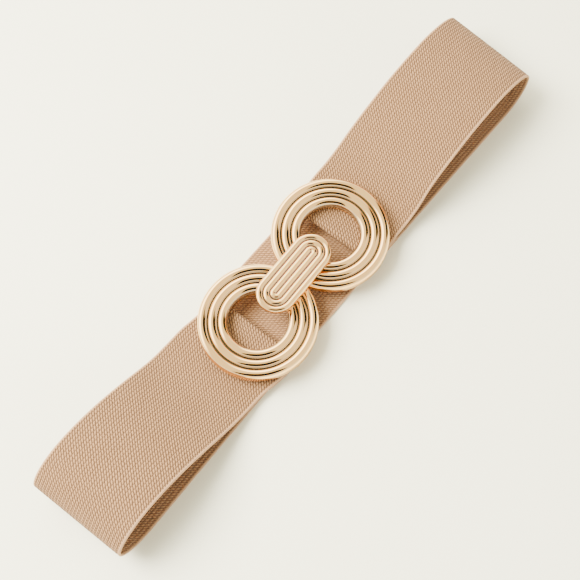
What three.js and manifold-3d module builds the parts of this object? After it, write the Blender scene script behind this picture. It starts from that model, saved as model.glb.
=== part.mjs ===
import * as THREE from 'three';
import { mergeVertices } from 'three/addons/utils/BufferGeometryUtils.js';
import Module from 'manifold-3d';

// Elastic stretch belt, fastened and lying flattened on a table, in millimetres.
// X runs along the belt, Y across it and Z up from the table. The near end is the one at low X.
// The band leaves one buckle ring, turns back in an end loop, runs along the table, turns back in the
// other end loop and reaches the other ring. Both band ends are folded round a bar behind their ring.

// Elastic band
const BAND_WIDTH = 59.4;
const BAND_THICKNESS = 1.4;
const SELVAGE_BEVEL = 0.45;
const FOLDED_BACK = 20;
const CLEARANCE = 0.3;

// Distances along the belt from the joint of the two rings to the end loops
const NEAR_REACH = 170.1;
const FAR_REACH = 182.5;

// End loops: the crest is the highest stretch, the turn is the outermost line of the fold
const NEAR_CREST_HEIGHT = 28.5;
const NEAR_TURN_HEIGHT = 13.5;
const NEAR_TURN_ABOVE = 25.6;
const NEAR_TURN_BELOW = 20;
const FAR_CREST_HEIGHT = 30.2;
const FAR_TURN_HEIGHT = 15.5;
const FAR_TURN_ABOVE = 33.3;
const FAR_TURN_BELOW = 20;

// Small irregularities of the lying belt: how far the edges of a fold run ahead of its middle,
// and how far the ends of the belt bend sideways
const NEAR_SKEW = 1.6;
const FAR_SKEW = 3.9;
const SIDEWAYS_BEND = 1.7;

// Buckle rings. Each reaches past the band's edges by the overhang, carries half-round ribs on a flat
// base, and is cut flat where the two rings meet under the plate.
const RING_OVERHANG = 3.3;
const RING_BASE = 3.5;
const RING_RIBS = 3;
const RING_RIB_WIDTH = 5.5;
const RING_FLAT = 1.4;

// Bars behind the rings, and the lugs that carry them
const BAR_DIAMETER = 2.2;
const BAR_OFFSET = 4.2;
const LUG_THICKNESS = 1.4;
const LUG_WIDTH = 4;
const SIDE_PLAY = 0.4;

// How the buckle lies: turned and shifted as a whole, and each half with its outer end lifted (tilt)
// and its high-Y side lifted (roll)
const BUCKLE_TURN = THREE.MathUtils.degToRad(1.5);
const BUCKLE_SHIFT = -2.2;
const NEAR_TILT = THREE.MathUtils.degToRad(0.5);
const NEAR_ROLL = THREE.MathUtils.degToRad(2);
const FAR_TILT = THREE.MathUtils.degToRad(2);
const FAR_ROLL = THREE.MathUtils.degToRad(5.5);
const SETTLING_LENGTH = 25;

// Oblong plate over the joint, and the hook under it
const PLATE_LENGTH = 52.6;
const PLATE_WIDTH = 22.5;
const PLATE_BASE = 0.9;
const PLATE_RIBS = 3;
const HOOK_WIDTH = 8;
const HOOK_THICKNESS = 1.8;
const HOOK_TIP_LENGTH = 11;

// Facets
const RING_FACETS = 64;
const RIB_FACETS = 6;
const PLATE_TURN_FACETS = 12;
const BAR_FACETS = 14;
const WRAP_FACETS = 8;
const COURSE_FACETS = 30;
const TURN_FACETS = 9;
const RUN_FACETS = 8;

// Course of the top layer under its ring. way is a share of the distance from the bar to the ring's
// outer edge, sink a share of the drop onto the folded-back end, lift a share of the ring's own lift.
const NEAR_UNDER_RING = [
  { way: 0.35, sink: 0.45, lift: 0 },
  { way: 0.7, sink: 0.95, lift: 0 },
  { way: 1, sink: 1.2, lift: 0 },
];
const FAR_UNDER_RING = [
  { way: 0.4, sink: 0, lift: 0.5 },
  { way: 0.75, sink: 0, lift: 0.4 },
  { way: 1, sink: 0, lift: 0.5 },
];

// Course of the top layer from the ring's edge up to the crest of the end loop.
// way is a share of that distance, rise a share of that height.
const NEAR_RISE = [
  { way: 0.12, rise: 0.05 },
  { way: 0.23, rise: 0.135 },
  { way: 0.34, rise: 0.29 },
  { way: 0.46, rise: 0.49 },
  { way: 0.58, rise: 0.675 },
  { way: 0.7, rise: 0.83 },
  { way: 0.82, rise: 0.935 },
  { way: 0.92, rise: 0.985 },
  { way: 1, rise: 1 },
];
const FAR_RISE = [
  { way: 0.07, rise: 0.09 },
  { way: 0.15, rise: 0.225 },
  { way: 0.25, rise: 0.405 },
  { way: 0.38, rise: 0.585 },
  { way: 0.52, rise: 0.74 },
  { way: 0.66, rise: 0.875 },
  { way: 0.8, rise: 0.95 },
  { way: 0.92, rise: 0.99 },
  { way: 1, rise: 1 },
];

// Levels and radii that follow from the sizes above
const halfThickness = BAND_THICKNESS / 2;
const halfWidth = BAND_WIDTH / 2;
const barRadius = BAR_DIAMETER / 2;
const tableLevel = halfThickness;
const layerStep = BAND_THICKNESS + CLEARANCE;
const wrapRadius = barRadius + CLEARANCE + halfThickness;
const ringRise = wrapRadius + halfThickness + CLEARANCE;
const ringOuterRadius = halfWidth + RING_OVERHANG;
const ringHoleRadius = ringOuterRadius - RING_RIBS * RING_RIB_WIDTH;
const ringRibRadius = RING_RIB_WIDTH / 2;
const ringHeight = RING_BASE + ringRibRadius;
const barToRingEdge = ringOuterRadius - BAR_OFFSET;
const barToFlat = BAR_OFFSET + ringOuterRadius - RING_FLAT;
const plateRibRadius = PLATE_WIDTH / 2 / PLATE_RIBS / 2;
const plateStraight = (PLATE_LENGTH - PLATE_WIDTH) / 2;

// One end of the belt with the levels and the bar place that follow for it. A rolled bar lies
// higher by as much as the roll lowers the edge of the band that is folded round it.
function beltEnd(own) {
  const barLevel = tableLevel + layerStep + wrapRadius + halfWidth * Math.sin(own.roll);
  const barX = CLEARANCE / 2
    + barToFlat * Math.cos(own.tilt)
    + (ringRise + ringHeight) * Math.sin(own.tilt);
  return { ...own, barLevel, barX };
}
const NEAR = beltEnd({
  side: -1,
  tilt: NEAR_TILT,
  roll: NEAR_ROLL,
  reach: NEAR_REACH,
  crestHeight: NEAR_CREST_HEIGHT,
  turnHeight: NEAR_TURN_HEIGHT,
  turnAbove: NEAR_TURN_ABOVE,
  turnBelow: NEAR_TURN_BELOW,
  skew: NEAR_SKEW,
  underRing: NEAR_UNDER_RING,
  rise: NEAR_RISE,
});
const FAR = beltEnd({
  side: 1,
  tilt: FAR_TILT,
  roll: FAR_ROLL,
  reach: FAR_REACH,
  crestHeight: FAR_CREST_HEIGHT,
  turnHeight: FAR_TURN_HEIGHT,
  turnAbove: FAR_TURN_ABOVE,
  turnBelow: FAR_TURN_BELOW,
  skew: FAR_SKEW,
  underRing: FAR_UNDER_RING,
  rise: FAR_RISE,
});

const wasm = await Module();
wasm.setup();

const X_AXIS = new THREE.Vector3(1, 0, 0);
const Z_AXIS = new THREE.Vector3(0, 0, 1);

// Solid of a closed geometry, for joining and cutting
function toSolid(geometry) {
  const bare = geometry.clone();
  bare.deleteAttribute('normal');
  bare.deleteAttribute('uv');
  const merged = mergeVertices(bare, 1e-4);
  const corners = merged.index.array;
  const kept = [];
  for (let i = 0; i < corners.length; i += 3) {
    const [a, b, c] = corners.slice(i, i + 3);
    if (a !== b && b !== c && c !== a) kept.push(a, b, c);
  }
  return new wasm.Manifold(new wasm.Mesh({
    numProp: 3,
    vertProperties: Float32Array.from(merged.attributes.position.array),
    triVerts: Uint32Array.from(kept),
  }));
}

// Geometry of a joined solid
function toGeometry(solid) {
  const mesh = solid.getMesh();
  const geometry = new THREE.BufferGeometry();
  geometry.setAttribute('position', new THREE.BufferAttribute(mesh.vertProperties, 3));
  geometry.setIndex(new THREE.BufferAttribute(mesh.triVerts, 1));
  geometry.computeVertexNormals();
  return geometry;
}

// Skin over equal rows of points, with closed rows and capped ends, or with open rows in a closed circuit
function skin(rows, { circuit }) {
  const count = rows[0].length;
  const triangles = [];
  const quad = (a, b, c, d) => triangles.push(a, b, c, a, c, d);
  const lastRow = circuit ? rows.length : rows.length - 1;
  const lastPoint = circuit ? count - 1 : count;
  for (let i = 0; i < lastRow; i += 1) {
    const here = i * count;
    const next = ((i + 1) % rows.length) * count;
    for (let j = 0; j < lastPoint; j += 1) {
      const k = (j + 1) % count;
      quad(here + j, next + j, next + k, here + k);
    }
  }
  if (!circuit) {
    const end = (rows.length - 1) * count;
    for (let j = 1; j < count - 1; j += 1) {
      triangles.push(0, j, j + 1);
      triangles.push(end, end + j + 1, end + j);
    }
  }
  const geometry = new THREE.BufferGeometry();
  const places = rows.flat().flatMap((point) => point.toArray());
  geometry.setAttribute('position', new THREE.Float32BufferAttribute(places, 3));
  geometry.setIndex(triangles);
  return geometry;
}

// Middle line of one half of the band, from the folded-back end to where the loop meets the table.
// Each point holds its place, its level, its end of the belt and whether it belongs to the upper layer.
function bandHalf(end) {
  const line = [];
  const add = (distance, z, upper) => line.push({ x: end.side * distance, z, upper, end });
  const foldedLevel = end.barLevel - wrapRadius;
  const overBarLevel = end.barLevel + wrapRadius;
  for (const share of [1, 0.5]) add(end.barX + FOLDED_BACK * share, foldedLevel, true);
  for (let i = 0; i <= WRAP_FACETS; i += 1) {
    const angle = Math.PI * (i / WRAP_FACETS);
    add(end.barX - wrapRadius * Math.sin(angle), end.barLevel - wrapRadius * Math.cos(angle), true);
  }

  const sinkDepth = overBarLevel - foldedLevel - layerStep;
  const guide = [new THREE.Vector3(end.barX, 0, overBarLevel)];
  for (const { way, sink, lift } of end.underRing) {
    const level = overBarLevel - sink * sinkDepth + lift * way * barToRingEdge * Math.sin(end.tilt);
    guide.push(new THREE.Vector3(end.barX + way * barToRingEdge, 0, level));
  }
  const edge = guide.at(-1);
  const crest = new THREE.Vector3(end.reach - end.turnAbove, 0, end.crestHeight - halfThickness);
  for (const { way, rise } of end.rise) {
    guide.push(new THREE.Vector3(
      THREE.MathUtils.lerp(edge.x, crest.x, way), 0, THREE.MathUtils.lerp(edge.z, crest.z, rise)));
  }
  const course = new THREE.CatmullRomCurve3(guide, false, 'centripetal');
  for (const point of course.getPoints(COURSE_FACETS).slice(1)) add(point.x, point.z, true);

  for (let i = 1; i <= TURN_FACETS; i += 1) {
    const angle = (Math.PI / 2) * (i / TURN_FACETS);
    add(crest.x + end.turnAbove * Math.sin(angle),
      end.turnHeight + (crest.z - end.turnHeight) * Math.cos(angle), true);
  }
  for (let i = 1; i <= TURN_FACETS; i += 1) {
    const angle = (Math.PI / 2) * (i / TURN_FACETS);
    add(end.reach - end.turnBelow * (1 - Math.cos(angle)),
      end.turnHeight - (end.turnHeight - tableLevel) * Math.sin(angle), false);
  }
  return line;
}

// Place of a band point once the belt lies as it does: the fold's edges run ahead or behind, the ends
// bend sideways, and the ends on the bars follow the roll, turn and shift of the buckle. The turn and
// shift are gone where the band leaves its ring, the roll only further out.
function settle({ x, upper, end }, point) {
  const skewShare = THREE.MathUtils.smoothstep(Math.abs(x), end.barX + barToRingEdge, end.reach);
  point.x += end.side * end.skew * skewShare * (point.y / halfWidth);
  if (upper) {
    const held = end.barX + barToRingEdge;
    const hold = 1 - THREE.MathUtils.smoothstep(Math.abs(x), held, held + SETTLING_LENGTH);
    const slide = 1 - THREE.MathUtils.smoothstep(Math.abs(x), end.barX + LUG_WIDTH, held);
    point.z -= end.barLevel;
    point.applyAxisAngle(X_AXIS, end.roll * hold);
    point.z += end.barLevel;
    point.applyAxisAngle(Z_AXIS, BUCKLE_TURN * slide);
    point.y += BUCKLE_SHIFT * slide;
  }
  point.y -= SIDEWAYS_BEND * (x / end.reach) ** 2;
  return point;
}

// The band: one strip with bevelled long edges
function elasticBand() {
  const nearLine = bandHalf(NEAR);
  const farLine = bandHalf(FAR).reverse();
  const middleLine = [];
  const from = nearLine.at(-1).x;
  const to = farLine[0].x;
  for (let i = 1; i < RUN_FACETS; i += 1) {
    const x = THREE.MathUtils.lerp(from, to, i / RUN_FACETS);
    middleLine.push({ x, z: tableLevel, upper: false, end: x < 0 ? NEAR : FAR });
  }
  const line = [...nearLine, ...middleLine, ...farLine];
  const inner = halfWidth - 2 * SELVAGE_BEVEL;
  const low = halfThickness - SELVAGE_BEVEL;
  const section = [
    { y: -halfWidth, out: -low },
    { y: -halfWidth, out: low },
    { y: -inner, out: halfThickness },
    { y: inner, out: halfThickness },
    { y: halfWidth, out: low },
    { y: halfWidth, out: -low },
    { y: inner, out: -halfThickness },
    { y: -inner, out: -halfThickness },
  ];
  const rows = line.map((point, i) => {
    const before = line[Math.max(i - 1, 0)];
    const after = line[Math.min(i + 1, line.length - 1)];
    const along = new THREE.Vector2(after.x - before.x, after.z - before.z).normalize();
    return section.map(({ y, out }) => settle(
      point, new THREE.Vector3(point.x - out * along.y, y, point.z + out * along.x)));
  });
  return skin(rows, { circuit: false });
}

// Profile of half-round ribs side by side, from inner to outer, standing on a base
function ribProfile(inner, ribs, ribRadius, base) {
  const profile = [new THREE.Vector2(inner, base)];
  for (let rib = 0; rib < ribs; rib += 1) {
    const middle = inner + ribRadius * (2 * rib + 1);
    for (let i = 1; i <= RIB_FACETS; i += 1) {
      const angle = Math.PI * (1 - i / RIB_FACETS);
      profile.push(new THREE.Vector2(
        middle + ribRadius * Math.cos(angle), base + ribRadius * Math.sin(angle)));
    }
  }
  return profile;
}

// Ring turned from a closed profile, flat side down, in the frame of its bar:
// the bar runs along Y through the origin and the joint of the rings lies at high X
function ribbedRing() {
  const ribs = ribProfile(ringHoleRadius, RING_RIBS, ringRibRadius, RING_BASE).reverse();
  const profile = [
    new THREE.Vector2(ringHoleRadius, 0),
    new THREE.Vector2(ringOuterRadius, 0),
    ...ribs,
    new THREE.Vector2(ringHoleRadius, 0),
  ];
  const ring = new THREE.LatheGeometry(profile, RING_FACETS);
  ring.rotateX(Math.PI / 2);
  ring.translate(BAR_OFFSET, 0, ringRise);
  return toSolid(ring).trimByPlane([-1, 0, 0], -barToFlat);
}

// Bar and the two lugs that carry it under the ring
function barWithLugs() {
  const lugInner = halfWidth + SIDE_PLAY;
  const bar = new THREE.CylinderGeometry(barRadius, barRadius, 2 * lugInner + LUG_THICKNESS, BAR_FACETS);
  let solid = toSolid(bar);
  const outline = new THREE.Shape();
  outline.moveTo(LUG_WIDTH / 2, ringRise + RING_BASE / 2);
  outline.lineTo(-LUG_WIDTH / 2, ringRise + RING_BASE / 2);
  outline.lineTo(-LUG_WIDTH / 2, 0);
  outline.absarc(0, 0, LUG_WIDTH / 2, Math.PI, 2 * Math.PI, false);
  for (const start of [lugInner, -lugInner - LUG_THICKNESS]) {
    const lug = new THREE.ExtrudeGeometry(outline, {
      depth: LUG_THICKNESS, bevelEnabled: false, curveSegments: RIB_FACETS });
    lug.rotateX(Math.PI / 2);
    lug.translate(0, start + LUG_THICKNESS, 0);
    solid = solid.add(toSolid(lug));
  }
  return solid;
}

// Stadium outline of the plate, made smaller by an inset
function plateOutline(inset) {
  const radius = PLATE_WIDTH / 2 - inset;
  const outline = new THREE.Shape();
  outline.absarc(plateStraight, 0, radius, -Math.PI / 2, Math.PI / 2, false);
  outline.absarc(-plateStraight, 0, radius, Math.PI / 2, 1.5 * Math.PI, false);
  return outline;
}

// Oblong plate whose ribs run round it one inside the other, with its underside at level 0
function ribbedPlate() {
  const top = ribProfile(0, PLATE_RIBS, plateRibRadius, PLATE_BASE);
  const profile = [...top, new THREE.Vector2(PLATE_WIDTH / 2, 0), new THREE.Vector2(0, 0)];
  const rows = [];
  for (const side of [1, -1]) {
    for (let i = 0; i <= PLATE_TURN_FACETS; i += 1) {
      const angle = Math.PI * (i / PLATE_TURN_FACETS - 0.5) + (side < 0 ? Math.PI : 0);
      rows.push(profile.map((p) => new THREE.Vector3(
        side * plateStraight + p.x * Math.cos(angle), p.x * Math.sin(angle), p.y)));
    }
  }
  return toSolid(skin(rows.reverse(), { circuit: true }));
}

// Frame of one buckle half before the whole buckle is turned and shifted: set on its bar,
// rolled, turned to face the joint and tilted about the bar
function halfFrame(end) {
  return new THREE.Matrix4()
    .makeTranslation(end.side * end.barX, 0, end.barLevel)
    .multiply(new THREE.Matrix4().makeRotationX(end.roll))
    .multiply(new THREE.Matrix4().makeRotationZ(end.side > 0 ? Math.PI : 0))
    .multiply(new THREE.Matrix4().makeRotationY(end.tilt));
}

// Points of the eye ring at a height over its underside, in the hook ring's frame,
// where they lie on the joint's side and within half a width of the middle
function eyeRingPoints(radii, height, halfWide) {
  const toHook = halfFrame(NEAR).invert().multiply(halfFrame(FAR));
  const points = [];
  for (const radius of radii) {
    for (let i = 0; i < RING_FACETS; i += 1) {
      const angle = Math.PI * (i / RING_FACETS - 0.5);
      const point = new THREE.Vector3(
        BAR_OFFSET + radius * Math.cos(angle), radius * Math.sin(angle), ringRise + height);
      point.applyMatrix4(toHook);
      if (Math.abs(point.y) <= halfWide) points.push(point);
    }
  }
  return points;
}

// Part of the hook ring under the plate, which joins the plate to the ring's ribs
function plateFoot(plateX, plateLevel) {
  const bottom = ringRise + RING_BASE / 2;
  const top = plateLevel + PLATE_BASE / 2;
  const foot = new THREE.ExtrudeGeometry(plateOutline(CLEARANCE), {
    depth: top - bottom, bevelEnabled: false, curveSegments: PLATE_TURN_FACETS });
  foot.translate(plateX, 0, bottom);
  const rim = new THREE.Shape();
  rim.absarc(BAR_OFFSET, 0, ringOuterRadius - RING_FLAT, 0, 2 * Math.PI, false);
  const hole = new THREE.Path();
  hole.absarc(BAR_OFFSET, 0, ringHoleRadius + CLEARANCE, 0, 2 * Math.PI, true);
  rim.holes.push(hole);
  const overRing = new THREE.ExtrudeGeometry(rim, {
    depth: 2 * top, bevelEnabled: false, curveSegments: RING_FACETS / 2 });
  return toSolid(foot).intersect(toSolid(overRing));
}

// Hidden hook: a leg through the eye ring's hole and a tip that reaches back under that ring
function hook(plateLevel) {
  const wall = eyeRingPoints([ringHoleRadius], 0, HOOK_WIDTH / 2 + CLEARANCE);
  const wallTop = eyeRingPoints([ringHoleRadius], ringHeight, HOOK_WIDTH / 2 + CLEARANCE);
  const legStart = Math.max(...[...wall, ...wallTop].map((point) => point.x)) + CLEARANCE;
  const underside = eyeRingPoints([ringHoleRadius, ringOuterRadius], 0, HOOK_WIDTH / 2);
  const tipTop = Math.min(...underside.map((point) => point.z)) - CLEARANCE;
  const tipBottom = tipTop - HOOK_THICKNESS;
  const legTop = plateLevel + PLATE_BASE / 2;
  const side = new THREE.Shape([
    new THREE.Vector2(legStart, legTop),
    new THREE.Vector2(legStart, tipTop),
    new THREE.Vector2(legStart - HOOK_TIP_LENGTH, tipTop),
    new THREE.Vector2(legStart - HOOK_TIP_LENGTH, tipBottom),
    new THREE.Vector2(legStart + HOOK_THICKNESS, tipBottom),
    new THREE.Vector2(legStart + HOOK_THICKNESS, legTop),
  ]);
  const shape = new THREE.ExtrudeGeometry(side, { depth: HOOK_WIDTH, bevelEnabled: false });
  shape.rotateX(Math.PI / 2);
  shape.translate(0, HOOK_WIDTH / 2, 0);
  return toSolid(shape);
}

// Buckle half with the plate and the hook: one casting, in the frame of its bar
function hookRing() {
  const crests = [];
  for (let rib = 0; rib < RING_RIBS; rib += 1) {
    crests.push(ringHoleRadius + ringRibRadius * (2 * rib + 1));
  }
  const underPlate = eyeRingPoints(crests, ringHeight, PLATE_WIDTH / 2);
  const plateLevel = CLEARANCE + Math.max(ringRise + ringHeight, ...underPlate.map((point) => point.z));
  const plateX = NEAR.barX;
  return toGeometry(ribbedRing()
    .add(barWithLugs())
    .add(ribbedPlate().translate([plateX, 0, plateLevel]))
    .add(plateFoot(plateX, plateLevel))
    .add(hook(plateLevel)));
}

// Buckle half that the hook catches: one casting, in the frame of its bar
function eyeRing() {
  return toGeometry(ribbedRing().add(barWithLugs()));
}

const elastic = new THREE.MeshStandardMaterial({ color: 0xccae93, roughness: 0.92, metalness: 0 });
const paleGold = new THREE.MeshStandardMaterial({ color: 0xe8cfae, roughness: 0.18, metalness: 1 });

// One buckle half as a named mesh in its place
function placedHalf(name, geometry, end) {
  const half = new THREE.Mesh(geometry, paleGold);
  half.name = name;
  half.applyMatrix4(halfFrame(end));
  return half;
}

const band = new THREE.Mesh(elasticBand(), elastic);
band.name = 'elastic_band';
const buckle = new THREE.Group();
buckle.add(placedHalf('hook_ring', hookRing(), NEAR));
buckle.add(placedHalf('eye_ring', eyeRing(), FAR));
buckle.rotation.z = BUCKLE_TURN;
buckle.position.y = BUCKLE_SHIFT;
const belt = new THREE.Group();
belt.add(band);
belt.add(buckle);

// The origin is on the table under the middle of the footprint
const extent = new THREE.Box3().setFromObject(belt, true);
const middle = extent.getCenter(new THREE.Vector3());
belt.position.set(-middle.x, -middle.y, -extent.min.z);

const group = new THREE.Group();
group.add(belt);

export default group;
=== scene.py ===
"""Elastic stretch belt with a two-ring hook buckle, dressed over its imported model.

Sizes are in millimetres in the belt's own frame: X along the belt, Y across it, Z up from the table.
"""

import logging
import math
from dataclasses import dataclass, field
from enum import Enum
from typing import Callable

import bmesh
import bpy
import numpy as np
from mathutils import Matrix, Vector


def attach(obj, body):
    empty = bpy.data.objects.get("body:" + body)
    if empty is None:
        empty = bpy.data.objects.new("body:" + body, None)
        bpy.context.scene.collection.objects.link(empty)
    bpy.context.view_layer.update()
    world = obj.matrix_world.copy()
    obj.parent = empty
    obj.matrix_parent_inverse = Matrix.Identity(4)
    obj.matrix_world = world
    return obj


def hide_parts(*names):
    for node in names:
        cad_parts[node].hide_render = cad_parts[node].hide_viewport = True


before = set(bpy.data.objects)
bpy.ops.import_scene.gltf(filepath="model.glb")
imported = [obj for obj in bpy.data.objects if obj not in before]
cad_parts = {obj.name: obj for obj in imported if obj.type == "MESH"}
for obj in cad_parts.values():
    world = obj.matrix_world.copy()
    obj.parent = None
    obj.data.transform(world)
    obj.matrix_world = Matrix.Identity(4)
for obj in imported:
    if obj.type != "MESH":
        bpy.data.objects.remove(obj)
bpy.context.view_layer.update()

MM = 0.001
PLACE = "place"
DEPTH = "depth"

logging.basicConfig(level=logging.INFO, format="%(name)s: %(message)s")
log = logging.getLogger("belt")

Pair = tuple[float, float]
Triple = tuple[float, float, float]
Color = tuple[float, float, float, float]
Profile = list[Triple]
Socket = bpy.types.NodeSocket


class Side(Enum):
    """End of the belt, with its sign along X."""

    NEAR = -1
    FAR = 1


def srgb(*parts: int) -> Color:
    """Linear colour, with full alpha, of sRGB red, green and blue from 0 to 255."""
    shares = [part / 255 for part in parts]
    return (*(s / 12.92 if s <= 0.04045 else ((s + 0.055) / 1.055) ** 2.4 for s in shares), 1.0)


def smoothstep(value: float, low: float, high: float) -> float:
    """Smooth share, from 0 to 1, of a value's way from low to high."""
    share = min(max((value - low) / (high - low), 0.0), 1.0)
    return share * share * (3 - 2 * share)


def arc(start: float, sweep: float, steps: int) -> list[float]:
    """Evenly spaced angles over a sweep from a start, one more than the steps."""
    return [start + sweep * step / steps for step in range(steps + 1)]


def around(radius: float, angle: float, centre: float = 0.0) -> Pair:
    """Point on a circle whose centre lies on the first axis."""
    return centre + radius * math.cos(angle), radius * math.sin(angle)


def turned(first: np.ndarray, second: np.ndarray, angle: float) -> tuple[np.ndarray, np.ndarray]:
    """Places on two axes, turned about the origin from the first axis towards the second."""
    cosine, sine = math.cos(angle), math.sin(angle)
    return first * cosine - second * sine, first * sine + second * cosine


def smooth_line(points: np.ndarray, count: int) -> np.ndarray:
    """Centripetal Catmull-Rom line through points.

    Args:
        points: Points to pass through, one per row.
        count: Number of steps along the line.

    Returns:
        The line's points, one more than the steps.
    """
    padded = np.vstack([2 * points[0] - points[1], points, 2 * points[-1] - points[-2]])
    spans = len(points) - 1
    line = []
    for step in range(count + 1):
        # The last step stays just short of the end, so that it still falls in the last span.
        position = min(step / count * spans, spans - 1e-9)
        index = int(position)
        share = position - index
        p0, p1, p2, p3 = padded[index : index + 4]
        d0, d1, d2 = (math.sqrt(np.linalg.norm(b - a)) for a, b in ((p0, p1), (p1, p2), (p2, p3)))
        leave = ((p1 - p0) / d0 - (p2 - p0) / (d0 + d1) + (p2 - p1) / d1) * d1
        arrive = ((p2 - p1) / d1 - (p3 - p1) / (d1 + d2) + (p3 - p2) / d2) * d1
        square = -3 * p1 + 3 * p2 - 2 * leave - arrive
        cube = 2 * p1 - 2 * p2 + leave + arrive
        line.append(p1 + leave * share + square * share**2 + cube * share**3)
    return np.array(line)


@dataclass(frozen=True)
class BeltEnd:
    """One end of the belt: its loop, and how its buckle half lies.

    Rows under the ring hold the share of the way to its edge, the sink and the lift, as shares. Rows of
    the rise hold the share of the way from there to the crest and the share of the height.
    """

    side: Side
    tilt: float
    roll: float
    reach: float
    crest_height: float
    turn_height: float
    turn_above: float
    turn_below: float
    skew: float
    under_ring: tuple[Triple, ...]
    rise: tuple[Pair, ...]


@dataclass(frozen=True)
class BeltSizes:
    """Sizes that the band and the two buckle halves share."""

    origin: Pair = (-7.315, 2.519)
    band_width: float = 59.4
    band_thickness: float = 1.4
    folded_back: float = 20.0
    clearance: float = 0.3
    sideways_bend: float = 1.7
    settling_length: float = 25.0
    buckle_turn: float = math.radians(1.5)
    buckle_shift: float = -2.2
    ring_overhang: float = 3.3
    ring_base: float = 3.5
    ring_ribs: int = 3
    ring_rib_width: float = 5.5
    ring_flat: float = 1.4
    bar_diameter: float = 2.2
    bar_offset: float = 4.2
    lug_thickness: float = 1.4
    lug_width: float = 4.0
    side_play: float = 0.4
    plate_length: float = 52.6
    plate_width: float = 22.5
    plate_base: float = 0.9
    plate_ribs: int = 3
    hook_width: float = 8.0
    hook_thickness: float = 1.8
    hook_tip_length: float = 11.0

    @property
    def half_thickness(self) -> float:
        """Half the thickness of the band."""
        return self.band_thickness / 2

    @property
    def half_width(self) -> float:
        """Half the width of the band."""
        return self.band_width / 2

    @property
    def wrap_radius(self) -> float:
        """Radius of the band's middle line round a bar."""
        return self.bar_diameter / 2 + self.clearance + self.half_thickness

    @property
    def ring_rise(self) -> float:
        """Height of a ring's underside over its bar's middle."""
        return self.wrap_radius + self.half_thickness + self.clearance

    @property
    def ring_outer_radius(self) -> float:
        """Outer radius of a ring."""
        return self.half_width + self.ring_overhang

    @property
    def ring_hole_radius(self) -> float:
        """Radius of a ring's hole."""
        return self.ring_outer_radius - self.ring_ribs * self.ring_rib_width

    @property
    def ring_height(self) -> float:
        """Height of a ring over its underside."""
        return self.ring_base + self.ring_rib_width / 2

    @property
    def bar_to_edge(self) -> float:
        """Distance from a bar to its ring's outer edge, away from the joint."""
        return self.ring_outer_radius - self.bar_offset

    @property
    def bar_to_flat(self) -> float:
        """Distance from a bar to the flat on its ring at the joint."""
        return self.bar_offset + self.ring_outer_radius - self.ring_flat

    def bar_level(self, end: BeltEnd) -> float:
        """Height of a bar's middle over the table."""
        stacked = self.half_thickness + self.band_thickness + self.clearance + self.wrap_radius
        return stacked + self.half_width * math.sin(end.roll)

    def bar_x(self, end: BeltEnd) -> float:
        """Distance of a bar along the belt from the joint of the rings."""
        level = self.bar_to_flat * math.cos(end.tilt)
        return self.clearance / 2 + level + (self.ring_rise + self.ring_height) * math.sin(end.tilt)

    def half_frame(self, end: BeltEnd) -> Matrix:
        """Frame of a buckle half before the buckle as a whole is turned and shifted.

        Args:
            end: End of the belt that the half is on.

        Returns:
            The matrix from the half's own frame.
        """
        place = Matrix.Translation((end.side.value * self.bar_x(end), 0, self.bar_level(end)))
        facing = math.pi if end.side is Side.FAR else 0.0
        return (
            place
            @ Matrix.Rotation(end.roll, 4, "X")
            @ Matrix.Rotation(facing, 4, "Z")
            @ Matrix.Rotation(end.tilt, 4, "Y")
        )

    def buckle_frame(self, end: BeltEnd) -> Matrix:
        """Frame of a buckle half in the finished belt, in metres.

        Args:
            end: End of the belt that the half is on.

        Returns:
            The matrix from the half's own frame in millimetres.
        """
        scale = Matrix.Scale(MM, 4)
        place = Matrix.Translation((self.origin[0], self.origin[1] + self.buckle_shift, 0))
        return scale @ place @ Matrix.Rotation(self.buckle_turn, 4, "Z") @ self.half_frame(end)


NEAR = BeltEnd(
    side=Side.NEAR,
    tilt=math.radians(0.5),
    roll=math.radians(2),
    reach=170.1,
    crest_height=28.5,
    turn_height=13.5,
    turn_above=25.6,
    turn_below=20.0,
    skew=1.6,
    under_ring=((0.35, 0.45, 0.0), (0.7, 0.95, 0.0), (1.0, 1.2, 0.0)),
    rise=(
        (0.12, 0.05), (0.23, 0.135), (0.34, 0.29), (0.46, 0.49), (0.58, 0.675),
        (0.7, 0.83), (0.82, 0.935), (0.92, 0.985), (1.0, 1.0),
    ),
)
FAR = BeltEnd(
    side=Side.FAR,
    tilt=math.radians(2),
    roll=math.radians(5.5),
    reach=182.5,
    crest_height=30.2,
    turn_height=15.5,
    turn_above=33.3,
    turn_below=20.0,
    skew=3.9,
    under_ring=((0.4, 0.0, 0.5), (0.75, 0.0, 0.4), (1.0, 0.0, 0.5)),
    rise=(
        (0.07, 0.09), (0.15, 0.225), (0.25, 0.405), (0.38, 0.585), (0.52, 0.74),
        (0.66, 0.875), (0.8, 0.95), (0.92, 0.99), (1.0, 1.0),
    ),
)


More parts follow.
